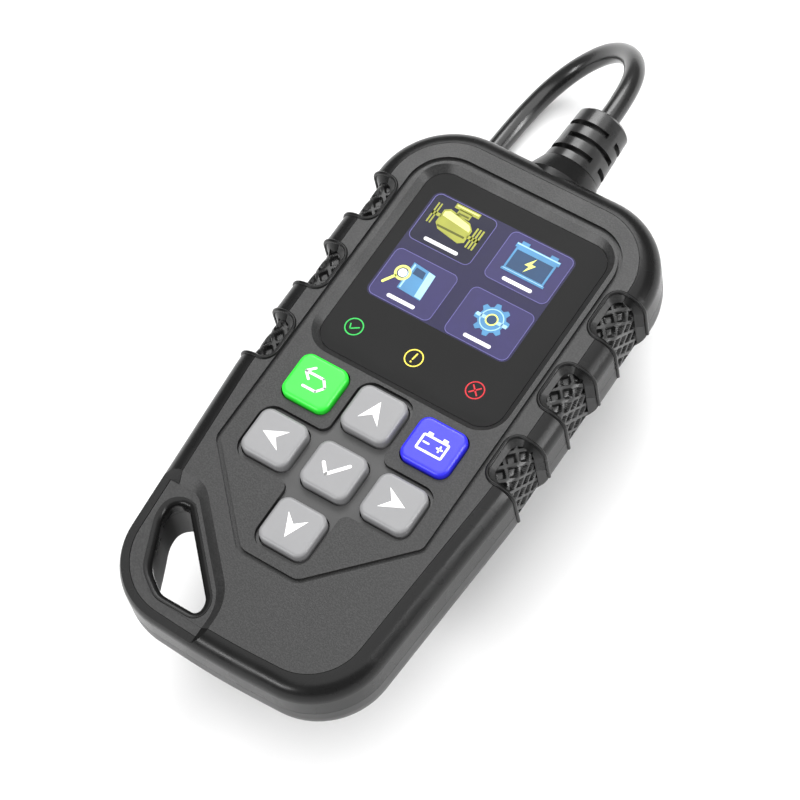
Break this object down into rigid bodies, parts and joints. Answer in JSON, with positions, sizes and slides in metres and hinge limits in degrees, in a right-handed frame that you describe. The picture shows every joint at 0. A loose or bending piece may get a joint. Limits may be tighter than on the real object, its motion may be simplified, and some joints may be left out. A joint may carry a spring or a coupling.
{
  "type": "obd code reader",
  "caption": "Palm-size vehicle code reader with colour display, round-cornered keypad, rubber side grips, lanyard eye and a captive lead to a 16-pin diagnostic plug.",
  "frame": {"origin": "centre of the housing with its keys, without the lead and plug", "axes": "+Z out of the face with the display and keys, +Y along the housing towards the lead, +X to the right as the face is read"},
  "size_m": [0.0672, 0.1736, 0.0409],
  "materials": {
    "face_plastic": "fine moulded grain",
    "bumper_plastic": "satin gloss",
    "cover_plastic": "fine moulded grain",
    "grip_rubber": "knurled",
    "key_grey": "smooth satin",
    "key_green": "smooth satin",
    "key_blue": "smooth satin",
    "lens": "polished, smoked",
    "screen": "polished",
    "diffuser": "satin",
    "plate": "smooth satin",
    "membrane": "matt",
    "foam": "closed-cell foam",
    "label": "printed film",
    "board": "solder mask",
    "chip": "moulded epoxy",
    "ivory_plastic": "satin",
    "steel": "brushed",
    "led": "clear",
    "light_guide": "polished clear",
    "flex": "polyimide film",
    "wire": "insulation",
    "lead_rubber": "glossy black jacket",
    "plug_plastic": "fine moulded grain",
    "pin_brass": "plated",
    "tie_nylon": "nylon"
  },
  "bodies": {
    "housing": {"front_shell": "face_plastic", "eye_rim": "bumper_plastic", "bumper_ring": "bumper_plastic", "rear_cover": "cover_plastic", "grip_insert_left": "grip_rubber", "grip_insert_right": "grip_rubber", "lens_window": "lens", "lcd_glass": "screen", "lcd_backlight": "diffuser", "lcd_foam": "foam", "rear_label": "label", "keypad_plate": "plate", "keymat_web": "membrane", "tact_switches": "steel", "main_board": "board", "lcd_ribbon": "flex", "ribbon_connector": "ivory_plastic", "lcd_gasket": "foam", "status_leds": "led", "light_guides": "light_guide", "microcontroller": "chip", "bus_transceivers": "chip", "capacitors": "chip", "buzzer": "chip", "lead_header": "ivory_plastic", "crimp_housing": "ivory_plastic", "inner_wires": "wire", "case_screws": "steel", "strain_relief": "lead_rubber", "lead_collar": "bumper_plastic", "lead_run": "lead_rubber", "lead_tail": "lead_rubber", "lead_coil": "lead_rubber", "cable_tie": "tie_nylon", "plug_shell_upper": "plug_plastic", "plug_shell_lower": "plug_plastic", "plug_shroud": "plug_plastic", "plug_pins": "pin_brass", "plug_boot": "lead_rubber", "plug_screws": "steel"},
    "key_ok": {"key_ok": "key_grey"},
    "key_up": {"key_up": "key_grey"},
    "key_down": {"key_down": "key_grey"},
    "key_left": {"key_left": "key_grey"},
    "key_right": {"key_right": "key_grey"},
    "key_exit": {"key_exit": "key_green"},
    "key_battery": {"key_battery": "key_blue"}
  },
  "joints": [
    {"name": "key_ok_press", "type": "slide", "parent": "housing", "child": "key_ok", "axis": [0, 0, -1], "range_m": [0, 0.0006], "stiffness_N_per_m": 800},
    {"name": "key_up_press", "type": "slide", "parent": "housing", "child": "key_up", "axis": [0, 0, -1], "range_m": [0, 0.0006], "stiffness_N_per_m": 800},
    {"name": "key_down_press", "type": "slide", "parent": "housing", "child": "key_down", "axis": [0, 0, -1], "range_m": [0, 0.0006], "stiffness_N_per_m": 800},
    {"name": "key_left_press", "type": "slide", "parent": "housing", "child": "key_left", "axis": [0, 0, -1], "range_m": [0, 0.0006], "stiffness_N_per_m": 800},
    {"name": "key_right_press", "type": "slide", "parent": "housing", "child": "key_right", "axis": [0, 0, -1], "range_m": [0, 0.0006], "stiffness_N_per_m": 800},
    {"name": "key_exit_press", "type": "slide", "parent": "housing", "child": "key_exit", "axis": [0, 0, -1], "range_m": [0, 0.0006], "stiffness_N_per_m": 800},
    {"name": "key_battery_press", "type": "slide", "parent": "housing", "child": "key_battery", "axis": [0, 0, -1], "range_m": [0, 0.0006], "stiffness_N_per_m": 800}
  ]
}
